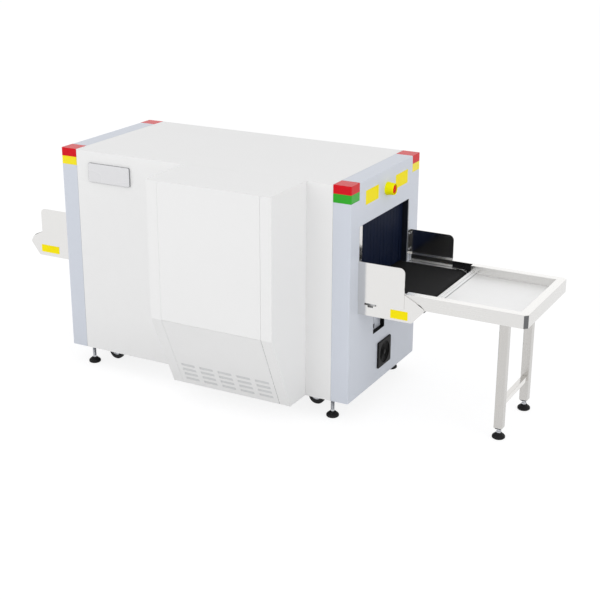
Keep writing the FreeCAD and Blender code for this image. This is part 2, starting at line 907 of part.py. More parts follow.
nodes = {
    "base_side_rails": base_side_rails(),
    "base_cross_members": base_cross_members(),
    "floor_sheet": floor_sheet(),
    "front_left_panel": front_left_panel(),
    "front_right_panel": front_right_panel(),
    "back_panels": back_panels(),
    "top_panel": top_panel(),
    "front_box_face_panel": front_box_face_panel(),
    "front_box_vent_panel": front_box_vent_panel(),
    "front_box_left_cover": front_box_left_cover(),
    "front_box_right_cover": front_box_right_cover(),
    "front_box_top_panel": front_box_top_panel(),
    "end_cover_right": end_cover_right(),
    "end_cover_left": end_cover_left(),
    "red_corner_lamps": red_corner_lamps(),
    "green_corner_lamps": green_corner_lamps(),
    "yellow_corner_lamps": yellow_corner_lamps(),
    "tunnel_side_walls": tunnel_side_walls(),
    "tunnel_roof": tunnel_roof(),
    "slider_bed": slider_bed(),
    "conveyor_belt": conveyor_belt(),
    "end_drums": end_drums(),
    "conveyor_cheeks": conveyor_cheeks(),
    "conveyor_pans": conveyor_pans(),
    "bag_guides": bag_guides(),
    "curtain_rails": curtain_rails(),
    "curtain_right": curtain_right(),
    "curtain_left": curtain_left(),
    "stop_shroud": stop_shroud(),
    "stop_button": stop_button(),
    "connector_recess": connector_recess(),
    "socket_plate": socket_plate(),
    "fan_guard": fan_guard(),
    "name_plate": name_plate(),
    "table_frame": table_frame(),
    "table_tray": table_tray(),
    "table_corner_posts": table_corner_posts(),
    "table_legs": table_legs(),
    "table_leg_bar": table_leg_bar(),
    "foot_stems": foot_stems(),
    "foot_pads": foot_pads(),
}
for place, (x, y) in caster_places.items():
    nodes["caster_fork_" + place] = caster_fork(x, y)
    nodes["caster_wheel_" + place] = caster_wheel(x, y)

# The origin is under the middle of the whole machine, on the floor
left_end = -drum_x - drum_radius - belt_thickness
shift_to_origin = V(-(left_end + table_end) / 2, -(box_front_y + back_y) / 2, 0)

os.makedirs("parts", exist_ok=True)
for name, shape in nodes.items():
    placed = shape.copy()
    placed.translate(shift_to_origin)
    placed.exportStep("parts/" + name + ".step")
print("origin shift", shift_to_origin, "nodes", len(nodes))
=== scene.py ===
import bmesh
import bpy
import json
import math
import random
from mathutils import Matrix, Vector

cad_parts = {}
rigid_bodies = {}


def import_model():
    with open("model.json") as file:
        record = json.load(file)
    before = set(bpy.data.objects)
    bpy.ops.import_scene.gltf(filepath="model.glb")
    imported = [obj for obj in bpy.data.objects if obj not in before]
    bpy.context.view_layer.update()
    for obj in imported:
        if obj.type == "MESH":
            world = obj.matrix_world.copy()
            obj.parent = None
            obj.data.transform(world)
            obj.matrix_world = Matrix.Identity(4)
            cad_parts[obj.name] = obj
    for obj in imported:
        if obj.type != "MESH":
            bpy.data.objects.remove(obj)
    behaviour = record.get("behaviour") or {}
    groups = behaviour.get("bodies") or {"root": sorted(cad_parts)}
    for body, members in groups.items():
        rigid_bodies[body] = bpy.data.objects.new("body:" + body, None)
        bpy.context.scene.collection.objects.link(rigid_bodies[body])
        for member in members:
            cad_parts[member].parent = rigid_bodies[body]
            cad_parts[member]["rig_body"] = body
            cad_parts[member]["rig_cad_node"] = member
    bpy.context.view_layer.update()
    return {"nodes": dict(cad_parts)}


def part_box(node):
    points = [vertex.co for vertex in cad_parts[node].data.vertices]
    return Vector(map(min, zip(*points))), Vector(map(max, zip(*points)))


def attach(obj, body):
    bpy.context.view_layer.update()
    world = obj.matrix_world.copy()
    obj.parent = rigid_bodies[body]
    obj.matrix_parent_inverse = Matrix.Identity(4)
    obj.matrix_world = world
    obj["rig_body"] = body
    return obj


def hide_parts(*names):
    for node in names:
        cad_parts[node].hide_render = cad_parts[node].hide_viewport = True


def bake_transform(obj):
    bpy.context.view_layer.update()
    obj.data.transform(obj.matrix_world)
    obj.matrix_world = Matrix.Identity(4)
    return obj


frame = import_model()
nodes = frame["nodes"]
bpy.ops.object.select_all(action="DESELECT")
print("frame:", len(nodes), "nodes")

# metres, +Z up, the front faces -Y and the table is at +X
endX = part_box("end_cover_right")[1].x
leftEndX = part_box("end_cover_left")[0].x


# camera and light

view = {
    "azimuth": 28.24591958,
    "elevation": 19.8964155,
    "roll": 0.19984124,
    "place": (2.7723, -4.8239, 2.4491),
    "lens": 74.6045,
    "sensor": 36.0,
}


def addCamera():
    turn = math.radians(view["azimuth"])
    rise = math.radians(view["elevation"])
    roll = math.radians(view["roll"])
    back = Vector((math.sin(turn) * math.cos(rise), -math.cos(turn) * math.cos(rise), math.sin(rise)))
    right = Vector((0, 0, 1)).cross(back).normalized()
    up = back.cross(right)
    tilted = (
        right * math.cos(roll) + up * math.sin(roll),
        up * math.cos(roll) - right * math.sin(roll),
        back,
    )
    data = bpy.data.cameras.new("photoCamera")
    data.lens = view["lens"]
    data.sensor_width = view["sensor"]
    data.clip_end = 200
    camera = bpy.data.objects.new("photoCamera", data)
    camera.matrix_world = Matrix.Translation(view["place"]) @ Matrix(tilted).transposed().to_4x4()
    bpy.context.scene.collection.objects.link(camera)
    bpy.context.scene.camera = camera


lights = {
    "world": 0.785,
    "frontSoftbox": {"place": (-1.5, -7.0, 3.2), "size": 5.0, "power": 106, "aim": (-0.2, 0, 0.6)},
    "rightSoftbox": {"place": (6.5, -2.0, 2.6), "size": 4.0, "power": 90, "aim": (0, 0, 0.6)},
    "leftSoftbox": {"place": (-6.5, -2.0, 2.6), "size": 4.0, "power": 50, "aim": (0, 0, 0.6)},
}


def addSoftbox(name, spec):
    data = bpy.data.lights.new(name, "AREA")
    data.shape = "SQUARE"
    data.size = spec["size"]
    data.energy = spec["power"]
    lamp = bpy.data.objects.new(name, data)
    place = Vector(spec["place"])
    lamp.location = place
    lamp.rotation_mode = "QUATERNION"
    lamp.rotation_quaternion = (Vector(spec["aim"]) - place).to_track_quat("-Z", "Y")
    lamp.visible_camera = False
    lamp.visible_glossy = False
    bpy.context.scene.collection.objects.link(lamp)


def seenDirectly(tree):
    # 1 for what the camera sees itself, in a mirror or through glass, else 0
    path = tree.nodes.new("ShaderNodeLightPath")
    total = None
    for ray in ("Is Camera Ray", "Is Glossy Ray", "Is Transmission Ray"):
        if total is None:
            total = path.outputs[ray]
            continue
        add = tree.nodes.new("ShaderNodeMath")
        add.operation = "MAXIMUM"
        tree.links.new(total, add.inputs[0])
        tree.links.new(path.outputs[ray], add.inputs[1])
        total = add.outputs[0]
    return total


def addWorld():
    world = bpy.data.worlds.new("studio")
    bpy.context.scene.world = world
    world.use_nodes = True
    tree = world.node_tree
    background = tree.nodes["Background"]
    background.inputs["Color"].default_value = (1, 1, 1, 1)
    strength = tree.nodes.new("ShaderNodeMix")
    strength.inputs["A"].default_value = lights["world"]
    strength.inputs["B"].default_value = 1.0
    tree.links.new(seenDirectly(tree), strength.inputs["Factor"])
    tree.links.new(strength.outputs["Result"], background.inputs["Strength"])


# lit is what lamps see, dim and glow are what the camera and mirrors see
backdrop = {"size": 80, "drop": 0.0005, "lit": (0.71, 0.71, 0.71, 1), "dim": (0.22, 0.22, 0.225, 1),
            "glow": 0.84}


def addFloor():
    bpy.ops.mesh.primitive_plane_add(size=backdrop["size"], location=(0, 0, -backdrop["drop"]))
    floor = bpy.context.object
    floor.name = "studioFloor"
    material = bpy.data.materials.new("studioFloor")
    material.use_nodes = True
    tree = material.node_tree
    tree.nodes.remove(tree.nodes["Principled BSDF"])
    lit = tree.nodes.new("ShaderNodeBsdfDiffuse")
    lit.inputs["Color"].default_value = backdrop["lit"]
    dim = tree.nodes.new("ShaderNodeBsdfDiffuse")
    dim.inputs["Color"].default_value = backdrop["dim"]
    glow = tree.nodes.new("ShaderNodeEmission")
    glow.inputs["Color"].default_value = (1, 1, 1, 1)
    glow.inputs["Strength"].default_value = backdrop["glow"]
    both = tree.nodes.new("ShaderNodeAddShader")
    mix = tree.nodes.new("ShaderNodeMixShader")
    tree.links.new(dim.outputs[0], both.inputs[0])
    tree.links.new(glow.outputs[0], both.inputs[1])
    tree.links.new(seenDirectly(tree), mix.inputs[0])
    tree.links.new(lit.outputs[0], mix.inputs[1])
    tree.links.new(both.outputs[0], mix.inputs[2])
    tree.links.new(mix.outputs[0], tree.nodes["Material Output"].inputs["Surface"])
    floor.data.materials.append(material)
    floor.select_set(False)


addCamera()
addWorld()
addFloor()
for name in ("frontSoftbox", "rightSoftbox", "leftSoftbox"):
    addSoftbox(name, lights[name])
bpy.context.scene.view_settings.view_transform = "Standard"
print("camera and light placed")


# shared effects, each a node group

def newGroup(name, inputs, outputs):
    group = bpy.data.node_groups.new(name, "ShaderNodeTree")
    for label, kind, value in inputs:
        socket = group.interface.new_socket(name=label, in_out="INPUT", socket_type=kind)
        socket.default_value = value
    for label, kind in outputs:
        group.interface.new_socket(name=label, in_out="OUTPUT", socket_type=kind)
    return group, group.nodes.new("NodeGroupInput"), group.nodes.new("NodeGroupOutput")


def addNode(tree, kind, values=None, **settings):
    node = tree.nodes.new(kind)
    for key, value in settings.items():
        setattr(node, key, value)
    for key, value in (values or {}).items():
        node.inputs[key].default_value = value
    return node


def stretched(tree, scale):
    # object coordinates, squeezed by a different amount along each axis
    place = tree.nodes.new("ShaderNodeTexCoord")
    squeeze = addNode(tree, "ShaderNodeMapping", {"Scale": scale})
    tree.links.new(place.outputs["Object"], squeeze.inputs["Vector"])
    return squeeze.outputs["Vector"]


def noise(tree, vector, scale, detail=2.0):
    node = addNode(tree, "ShaderNodeTexNoise", {"Detail": detail, "Roughness": 0.55})
    tree.links.new(vector, node.inputs["Vector"])
    if isinstance(scale, (int, float)):
        node.inputs["Scale"].default_value = scale
    else:
        tree.links.new(scale, node.inputs["Scale"])
    return node.outputs["Fac"]


def remap(tree, value, low, high, clamp=True):
    # low and high are numbers or sockets
    node = addNode(tree, "ShaderNodeMapRange", clamp=clamp)
    tree.links.new(value, node.inputs["Value"])
    for key, limit in (("To Min", low), ("To Max", high)):
        if isinstance(limit, (int, float)):
            node.inputs[key].default_value = limit
        else:
            tree.links.new(limit, node.inputs[key])
    return node.outputs["Result"]


def shade(tree, colour, factor):
    # multiplies a colour by a grey value
    node = addNode(tree, "ShaderNodeVectorMath", operation="SCALE")
    tree.links.new(colour, node.inputs[0])
    tree.links.new(factor, node.inputs["Scale"])
    return node.outputs["Vector"]


def calc(tree, operation, first, second):
    node = addNode(tree, "ShaderNodeMath", operation=operation)
    for index, value in enumerate((first, second)):
        if isinstance(value, (int, float)):
            node.inputs[index].default_value = value
        else:
            tree.links.new(value, node.inputs[index])
    return node.outputs[0]


def makePaintGroup():
    # powder coat: orange peel, slow drift of tone, a little darker towards the floor
    group, given, result = newGroup(
        "powderCoat",
        [("Colour", "NodeSocketColor", (0.8, 0.8, 0.8, 1)), ("Peel", "NodeSocketFloat", 600.0),
         ("Drift", "NodeSocketFloat", 0.02), ("Gloss", "NodeSocketFloat", 0.35)],
        [("Colour", "NodeSocketColor"), ("Roughness", "NodeSocketFloat"), ("Height", "NodeSocketFloat")],
    )
    vector = stretched(group, (1, 1, 1))
    peel = noise(group, vector, given.outputs["Peel"], 3.0)
    drift = noise(group, vector, 2.3, 2.0)
    low = calc(group, "SUBTRACT", 1.0, given.outputs["Drift"])
    tone = remap(group, drift, low, 1.0)
    split = group.nodes.new("ShaderNodeSeparateXYZ")
    group.links.new(vector, split.inputs[0])
    # darker towards the floor, down to 95.5 percent of the colour at the lowest
    reach = {"From Min": 0.09, "From Max": 0.30, "To Min": 0.955, "To Max": 1.0}
    floorDarkening = addNode(group, "ShaderNodeMapRange", reach)
    group.links.new(split.outputs["Z"], floorDarkening.inputs["Value"])
    tone = calc(group, "MULTIPLY", tone, floorDarkening.outputs["Result"])
    group.links.new(shade(group, given.outputs["Colour"], tone), result.inputs["Colour"])
    rough = calc(group, "ADD", given.outputs["Gloss"], remap(group, drift, -0.04, 0.06))
    group.links.new(rough, result.inputs["Roughness"])
    group.links.new(peel, result.inputs["Height"])
    return group


def makeBrushedGroup():
    # rolled and brushed sheet: fine lines along one axis, faint clouds of handling
    group, given, result = newGroup(
        "brushedMetal",
        [("Colour", "NodeSocketColor", (0.7, 0.7, 0.7, 1)), ("Lines", "NodeSocketVector", (4, 900, 900)),
         ("Contrast", "NodeSocketFloat", 0.06), ("Gloss", "NodeSocketFloat", 0.2)],
        [("Colour", "NodeSocketColor"), ("Roughness", "NodeSocketFloat"), ("Height", "NodeSocketFloat")],
    )
    place = group.nodes.new("ShaderNodeTexCoord")
    squeeze = addNode(group, "ShaderNodeVectorMath", operation="MULTIPLY")
    group.links.new(place.outputs["Object"], squeeze.inputs[0])
    group.links.new(given.outputs["Lines"], squeeze.inputs[1])
    lines = noise(group, squeeze.outputs["Vector"], 1.0, 3.0)
    clouds = noise(group, place.outputs["Object"], 7.0, 3.0)
    low = calc(group, "SUBTRACT", 1.0, given.outputs["Contrast"])
    tone = remap(group, lines, low, 1.0)
    group.links.new(shade(group, given.outputs["Colour"], tone), result.inputs["Colour"])
    rough = calc(group, "ADD", given.outputs["Gloss"], remap(group, lines, -0.03, 0.05))
    rough = calc(group, "ADD", rough, remap(group, clouds, -0.03, 0.05))
    group.links.new(rough, result.inputs["Roughness"])
    group.links.new(lines, result.inputs["Height"])
    return group


def makeMouldedGroup():
    # moulded plastic or rubber: spark-eroded grain with a little uneven sheen
    group, given, result = newGroup(
        "mouldedSkin",
        [("Colour", "NodeSocketColor", (0.1, 0.1, 0.1, 1)), ("Grain", "NodeSocketFloat", 900.0),
         ("Contrast", "NodeSocketFloat", 0.12), ("Gloss", "NodeSocketFloat", 0.5)],
        [("Colour", "NodeSocketColor"), ("Roughness", "NodeSocketFloat"), ("Height", "NodeSocketFloat")],
    )
    vector = stretched(group, (1, 1, 1))
    grain = noise(group, vector, given.outputs["Grain"], 4.0)
    clouds = noise(group, vector, 18.0, 2.0)
    low = calc(group, "SUBTRACT", 1.0, given.outputs["Contrast"])
    tone = remap(group, clouds, low, 1.0)
    group.links.new(shade(group, given.outputs["Colour"], tone), result.inputs["Colour"])
    rough = calc(group, "ADD", given.outputs["Gloss"], remap(group, grain, -0.07, 0.07))
    group.links.new(rough, result.inputs["Roughness"])
    group.links.new(grain, result.inputs["Height"])
    return group


def makeRibGroup():
    # thin upright ribs across Y, as on extruded rubber strip, each rib lighter in colour as a painted sheen
    group, given, result = newGroup(
        "uprightRibs",
        [("Colour", "NodeSocketColor", (0.01, 0.015, 0.03, 1)), ("Pitch", "NodeSocketFloat", 0.009),
         ("Start", "NodeSocketFloat", 0.0), ("Lift", "NodeSocketFloat", 0.6)],
        [("Colour", "NodeSocketColor"), ("Height", "NodeSocketFloat")],
    )
    place = group.nodes.new("ShaderNodeTexCoord")
    split = group.nodes.new("ShaderNodeSeparateXYZ")
    group.links.new(place.outputs["Object"], split.inputs[0])
    across = calc(group, "SUBTRACT", split.outputs["Y"], given.outputs["Start"])
    turns = calc(group, "DIVIDE", across, given.outputs["Pitch"])
    wave = calc(group, "PINGPONG", turns, 0.5)
    ridge = calc(group, "POWER", calc(group, "MULTIPLY", wave, 2.0), 6.0)
    drift = noise(group, stretched(group, (1, 60, 3)), 1.0, 2.0)
    # each rib is made lighter in colour: a painted sheen along the ribs
    sheenLifted = calc(group, "ADD", 1.0, calc(group, "MULTIPLY", ridge, given.outputs["Lift"]))
    tone = calc(group, "MULTIPLY", sheenLifted, remap(group, drift, 0.75, 1.3))
    group.links.new(shade(group, given.outputs["Colour"], tone), result.inputs["Colour"])
    group.links.new(ridge, result.inputs["Height"])
    return group


groups = {
    "paint": makePaintGroup(),
    "brushed": makeBrushedGroup(),
    "moulded": makeMouldedGroup(),
    "ribs": makeRibGroup(),
}
print("shared effects built")


# finishes

def fromScreen(red, green, blue):
    # a screen colour, 0 to 255, as the linear colour that the nodes take
    linear = []
    for value in (red, green, blue):
        share = value / 255
        linear.append(share / 12.92 if share <= 0.04045 else ((share + 0.055) / 1.055) ** 2.4)
    return (*linear, 1.0)


def painted(colour, peel, drift, gloss, bump, **more):
    own = {"Peel": peel, "Drift": drift, "Gloss": gloss}
    return {"colour": colour, "group": "paint", "set": own, "bump": bump, **more}


def brushed(colour, lines, contrast, gloss, bump=0.000002, metallic=1.0, **more):
    own = {"Lines": lines, "Contrast": contrast, "Gloss": gloss}
    return {"colour": colour, "group": "brushed", "set": own, "bump": bump, "Metallic": metallic, **more}


def moulded(colour, grain, contrast, gloss, specular, bump=0.00001, **more):
    own = {"Grain": grain, "Contrast": contrast, "Gloss": gloss}
    plain = {"bump": bump, "Specular IOR Level": specular}
    return {"colour": colour, "group": "moulded", "set": own, **plain, **more}


# screen colours, bump in metres; a finish that the frame doesn't have names the slot that it stands in
acrossX = (5, 900, 900)
finishes = {
    "white_paint": painted((240, 240, 240), peel=520.0, drift=0.02, gloss=0.42, bump=0.00002),
    "blue_grey_paint": painted((211, 216, 226), peel=520.0, drift=0.025, gloss=0.40, bump=0.00002),
    "frame_paint": painted((120, 124, 128), peel=380.0, drift=0.06, gloss=0.5, bump=0.00003),
    "galvanised_sheet": brushed((176, 180, 184), (30, 60, 60), contrast=0.18, gloss=0.38, bump=0.00001,
                                metallic=0.9),
    # grey of the sheet behind the vent slots: painted shade
    "baffleShadeGrey": painted((218, 219, 220), peel=380.0, drift=0.03, gloss=0.5, bump=0.00002,
                           slot="galvanised_sheet"),
    "tunnel_paint": painted((19, 24, 35), peel=380.0, drift=0.08, gloss=0.45, bump=0.00003),
    "red_lens": moulded((216, 14, 30), grain=300.0, contrast=0.05, gloss=0.22, specular=0.14),
    "green_lens": moulded((46, 170, 36), grain=300.0, contrast=0.05, gloss=0.22, specular=0.25),
    "yellow_lens": moulded((250, 232, 30), grain=300.0, contrast=0.04, gloss=0.22, specular=0.25),
    "stainless": brushed((229, 227, 224), acrossX, contrast=0.05, gloss=0.14),
    "uprightSteel": brushed((204, 202, 199), (900, 900, 5), contrast=0.08, gloss=0.24, slot="stainless"),
    "satinSteel": brushed((246, 246, 246), (5, 700, 700), contrast=0.04, gloss=0.42, bump=0.000004,
                          metallic=0.85, slot="stainless"),
    "guideSteel": brushed((228, 227, 225), acrossX, contrast=0.05, gloss=0.12, slot="stainless"),
    # a lighter copy of the steel for lit tops: a painted highlight
    "topHighlightSteel": brushed((250, 249, 247), acrossX, contrast=0.03, gloss=0.22, slot="stainless"),
    "rimSteel": brushed((225, 224, 222), acrossX, contrast=0.04, gloss=0.26, slot="stainless"),
    "belt_black": moulded((33, 33, 34), grain=1400.0, contrast=0.14, gloss=0.66, specular=0.10, bump=0.00006),
    # each curtain rib is lightened in colour: a painted sheen
    "leaded_rubber": {"colour": (12, 20, 39), "group": "ribs",
                      "set": {"Pitch": 0.01174, "Start": -0.0915, "Lift": 2.4}, "bump": 0.0004,
                      "Roughness": 0.55, "Specular IOR Level": 0.06},
    "yellow_plastic": moulded((255, 236, 16), grain=700.0, contrast=0.03, gloss=0.4, specular=0.08),
    "signalYellow": moulded((255, 250, 6), grain=700.0, contrast=0.03, gloss=0.4, specular=0.06,
                            slot="yellow_plastic"),
    "red_plastic": moulded((228, 36, 6), grain=700.0, contrast=0.05, gloss=0.4, specular=0.03),
    "black_plastic": moulded((15, 15, 16), grain=800.0, contrast=0.15, gloss=0.5, specular=0.12,
                             bump=0.00004),
    "plate_white": painted((226, 226, 228), peel=900.0, drift=0.02, gloss=0.25, bump=0.000006),
    # a mid grey that paints shade on the name plate's sides and a shadow line in the tray
    "edgeShadeGrey": moulded((146, 147, 149), grain=600.0, contrast=0.06, gloss=0.4, specular=0.2,
                         slot="dark_filler"),
    "dark_filler": moulded((104, 105, 107), grain=600.0, contrast=0.1, gloss=0.4, specular=0.3, bump=0.00003),
    "bright_zinc": brushed((196, 198, 202), (60, 60, 400), contrast=0.12, gloss=0.24, bump=0.000004),
    "pad_rubber": moulded((25, 25, 26), grain=700.0, contrast=0.2, gloss=0.55, specular=0.2, bump=0.00005),
    "wheel_nylon": moulded((24, 24, 25), grain=500.0, contrast=0.15, gloss=0.45, specular=0.25, bump=0.00004),
}


def makeFinish(name, spec):
    material = bpy.data.materials.new(name)
    material.use_nodes = True
    tree = material.node_tree
    shader = tree.nodes["Principled BSDF"]
    effect = tree.nodes.new("ShaderNodeGroup")
    effect.node_tree = groups[spec["group"]]
    effect.inputs["Colour"].default_value = fromScreen(*spec["colour"])
    for key, value in spec["set"].items():
        effect.inputs[key].default_value = value
    tree.links.new(effect.outputs["Colour"], shader.inputs["Base Color"])
    if "Roughness" in effect.outputs:
        tree.links.new(effect.outputs["Roughness"], shader.inputs["Roughness"])
    bump = addNode(tree, "ShaderNodeBump", {"Strength": 1.0, "Distance": spec["bump"]})
    tree.links.new(effect.outputs["Height"], bump.inputs["Height"])
    tree.links.new(bump.outputs["Normal"], shader.inputs["Normal"])
    for key, value in spec.items():
        if key in shader.inputs:
            shader.inputs[key].default_value = value
    material.diffuse_color = fromScreen(*spec["colour"])
    return material


slotOf = {name: node.data.materials[0].name for name, node in nodes.items()}
for old in {node.data.materials[0] for node in nodes.values()}:
    old.name = "frame_" + old.name
materials = {name: makeFinish(name, spec) for name, spec in finishes.items()}
for name, node in nodes.items():
    node.data.materials[0] = materials[slotOf[name]]
print("finishes:", len(materials))


# small tools for modelling

def nothingSelected():
    if bpy.context.object and bpy.context.object.mode != "OBJECT":
        bpy.ops.object.mode_set(mode="OBJECT")
    bpy.ops.object.select_all(action="DESELECT")


def only(piece):
    nothingSelected()
    piece.select_set(True)
    bpy.context.view_layer.objects.active = piece


def applyPlace(piece):
    only(piece)
    bpy.ops.object.transform_apply(location=True, rotation=True, scale=True)


def addBlock(low, high):
    nothingSelected()
    low, high = Vector(low), Vector(high)
    bpy.ops.mesh.primitive_cube_add(size=1, location=(low + high) / 2)
    piece = bpy.context.object
    piece.scale = high - low
    applyPlace(piece)
    return piece


def pick(piece, kind, test):
    # edit mode with the faces, edges or corners that pass the test selected
    only(piece)
    bpy.ops.object.mode_set(mode="EDIT")
    bpy.ops.mesh.select_mode(type=kind)
    bpy.ops.mesh.select_all(action="DESELECT")
    mesh = bmesh.from_edit_mesh(piece.data)
    for element in {"FACE": mesh.faces, "EDGE": mesh.edges, "VERT": mesh.verts}[kind]:
        if test(element):
            element.select_set(True)
    bmesh.update_edit_mesh(piece.data)


def moveWhere(piece, kind, test, way, **settings):
    pick(piece, kind, test)
    bpy.ops.transform.translate(value=way, **settings)
    bpy.ops.object.mode_set(mode="OBJECT")


def bevelWhere(piece, test, width, segments):
    pick(piece, "EDGE", test)
    bpy.ops.mesh.bevel(offset=width, segments=segments, affect="EDGES")
    bpy.ops.object.mode_set(mode="OBJECT")


def facing(direction, least=0.9):
    axis = Vector(direction).normalized()
    return lambda face: face.normal.dot(axis) > least


def along(direction):
    axis = Vector(direction).normalized()

    def test(edge):
        run = edge.verts[1].co - edge.verts[0].co
        return run.length > 1e-6 and abs(run.normalized().dot(axis)) > 0.999

    return test


def modify(piece, kind, **settings):
    only(piece)
    modifier = piece.modifiers.new(kind.lower(), kind)
    for key, value in settings.items():
        setattr(modifier, key, value)
    bpy.ops.object.modifier_apply(modifier=modifier.name)


def soften(piece, width, segments=2, angle=35):
    modify(piece, "BEVEL", width=width, segments=segments, limit_method="ANGLE",
           angle_limit=math.radians(angle), use_clamp_overlap=True)


def smooth(piece, angle=32):
    only(piece)
    bpy.ops.object.shade_smooth_by_angle(angle=math.radians(angle))
    modify(piece, "WEIGHTED_NORMAL", keep_sharp=True, weight=50)


def finishPiece(piece, name, body, finish, stands=()):
    nothingSelected()
    piece.name = name
    piece.data.name = name
    piece.data.materials.clear()
    piece.data.materials.append(materials[finish])
    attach(piece, body)
    if stands:
        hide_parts(*stands)
    return piece


def joined(pieces):
    nothingSelected()
    for piece in pieces:
        piece.select_set(True)
    bpy.context.view_layer.objects.active = pieces[0]
    bpy.ops.object.join()
    return pieces[0]


def dress(piece, name, finish, ease=0.0, segments=2, stands=()):
    # a plain piece of the scanner, with its rims eased
    if ease:
        soften(piece, ease, segments)
    smooth(piece)
    finishPiece(piece, name, "scanner", finish, stands)


def copied(piece, matrix):
    # a copy with its own mesh, placed by a matrix
    twin = piece.copy()
    twin.data = piece.data.copy()
    bpy.context.scene.collection.objects.link(twin)
    twin.data.transform(matrix)
    if matrix.determinant() < 0:
        twin.data.flip_normals()
    return twin


def faceAcross(face, edge):
    # how far a face reaches from one of its edges
    start = edge.verts[0].co
    run = (edge.verts[1].co - start).normalized()
    return max(((v.co - start) - (v.co - start).dot(run) * run).length for v in face.verts)


def softened(node, folds=0.0, edges=0.0003, finish=None):
    # a clean copy of a CAD node with its folds rounded, which then stands for the node
    source = nodes[node]
    piece = source.copy()
    piece.data = source.data.copy()
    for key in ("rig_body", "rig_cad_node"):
        del piece[key]
    piece.parent = None
    bpy.context.scene.collection.objects.link(piece)
    only(piece)
    bpy.ops.mesh.customdata_custom_splitnormals_clear()
    bpy.ops.object.mode_set(mode="EDIT")
    bpy.ops.mesh.select_all(action="SELECT")
    bpy.ops.mesh.remove_doubles(threshold=0.00002)
    bpy.ops.mesh.dissolve_limited(angle_limit=math.radians(0.4))
    if folds:
        pick(piece, "EDGE", lambda edge: (
            len(edge.link_faces) == 2 and edge.calc_length() > 0.02
            and edge.calc_face_angle_signed() > math.radians(18)
            and all(faceAcross(face, edge) > 0.0045 for face in edge.link_faces)))
        bpy.ops.mesh.bevel(offset=folds, segments=4, affect="EDGES", clamp_overlap=True)
    bpy.ops.object.mode_set(mode="OBJECT")
    if edges:
        soften(piece, edges, 2)
    smooth(piece)
    return finishPiece(piece, node + "Soft", source["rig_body"], finish or slotOf[node], [node])


def lathe(profile, centre, axis, steps=48):
    # a profile of (radius, height) points, extruded point by point and spun round its axis
    nothingSelected()
    centre, axis = Vector(centre), Vector(axis).normalized()
    side = axis.orthogonal().normalized()
    bpy.ops.mesh.primitive_plane_add(size=0.001, location=(0, 0, 0))
    piece = bpy.context.object
    bpy.ops.object.mode_set(mode="EDIT")
    bpy.ops.mesh.select_mode(type="VERT")
    bpy.ops.mesh.select_all(action="SELECT")
    bpy.ops.mesh.merge(type="CENTER")
    places = [centre + side * radius + axis * height for radius, height in profile]
    bpy.ops.transform.translate(value=places[0])
    for before, after in zip(places, places[1:]):
        bpy.ops.mesh.extrude_region_move(TRANSFORM_OT_translate={"value": after - before})
    bpy.ops.mesh.select_all(action="SELECT")
    bpy.ops.mesh.spin(steps=steps, angle=math.tau, center=centre, axis=axis)
    bpy.ops.mesh.select_all(action="SELECT")
    bpy.ops.mesh.remove_doubles(threshold=0.000005)
    bpy.ops.mesh.normals_make_consistent(inside=False)
    bpy.ops.object.mode_set(mode="OBJECT")
    return piece


def boxMiddle(node):
    low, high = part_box(node)
    return (low + high) / 2


def addCylinder(radius, start, end, steps=40):
    nothingSelected()
    start, end = Vector(start), Vector(end)
    run = end - start
    bpy.ops.mesh.primitive_cylinder_add(vertices=steps, radius=radius, depth=run.length,
                                        location=(start + end) / 2)
    piece = bpy.context.object
    piece.rotation_mode = "QUATERNION"
    piece.rotation_quaternion = Vector((0, 0, 1)).rotation_difference(run)
    applyPlace(piece)
    return piece


def cutWith(piece, cutter):
    modify(piece, "BOOLEAN", operation="DIFFERENCE", object=cutter, solver="EXACT")
    bpy.data.objects.remove(cutter)


def roundedBlock(low, high, axis, radius, edge, segments=8):
    # a block with its four corners rounded along an axis, and every rim eased
    piece = addBlock(low, high)
    bevelWhere(piece, along(axis), radius, segments)
    if edge:
        soften(piece, edge, 2)
    smooth(piece)
    return piece


# sheet-metal covers

coverFolds = {
    "front_left_panel": 0.0016, "front_right_panel": 0.0016, "back_panels": 0.0016, "top_panel": 0.0,
    "front_box_face_panel": 0.0, "front_box_vent_panel": 0.0020, "front_box_left_cover": 0.0030,
    "front_box_right_cover": 0.0030, "front_box_top_panel": 0.0, "end_cover_right": 0.0,
    "end_cover_left": 0.0, "base_side_rails": 0.0020, "base_cross_members": 0.0020,
    "floor_sheet": 0.0, "tunnel_side_walls": 0.0,
    "tunnel_roof": 0.0, "curtain_rails": 0.0, "socket_plate": 0.0, "connector_recess": 0.0,
}
for node, fold in coverFolds.items():
    softened(node, folds=fold)

slope = {"footY": -0.3555, "first": 0.037, "pitch": 0.0303, "rows": 4, "slot": 0.008, "wide": 0.016,
         "clear": 0.004}


def slopeFrame():
    # the foot of the slope and the direction that climbs it
    low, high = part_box("front_box_vent_panel")
    foot = Vector((0, slope["footY"], low.z))
    return foot, (Vector((0, low.y, high.z)) - foot).normalized()


def widenSlots():
    # the two long sides of every slot are moved apart along the slope
    foot, rise = slopeFrame()
    low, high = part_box("front_box_vent_panel")
    piece = bpy.data.objects["front_box_vent_panelSoft"]
    grow = (slope["wide"] - slope["slot"]) / 2
    for side in (1, -1):
        def onSlotSide(vert):
            way = (vert.co - foot).dot(rise) - slope["first"]
            row = round(way / slope["pitch"])
            off = (way - row * slope["pitch"]) * side
            inside = low.x + slope["clear"] < vert.co.x < high.x - slope["clear"]
            return inside and 0 <= row < slope["rows"] and 0 < off < slope["slot"] * 0.6

        moveWhere(piece, "VERT", onSlotSide, rise * grow * side)
    nothingSelected()


widenSlots()

seamLightFill = {"wide": 0.0012, "deep": 0.012, "recess": 0.0004}


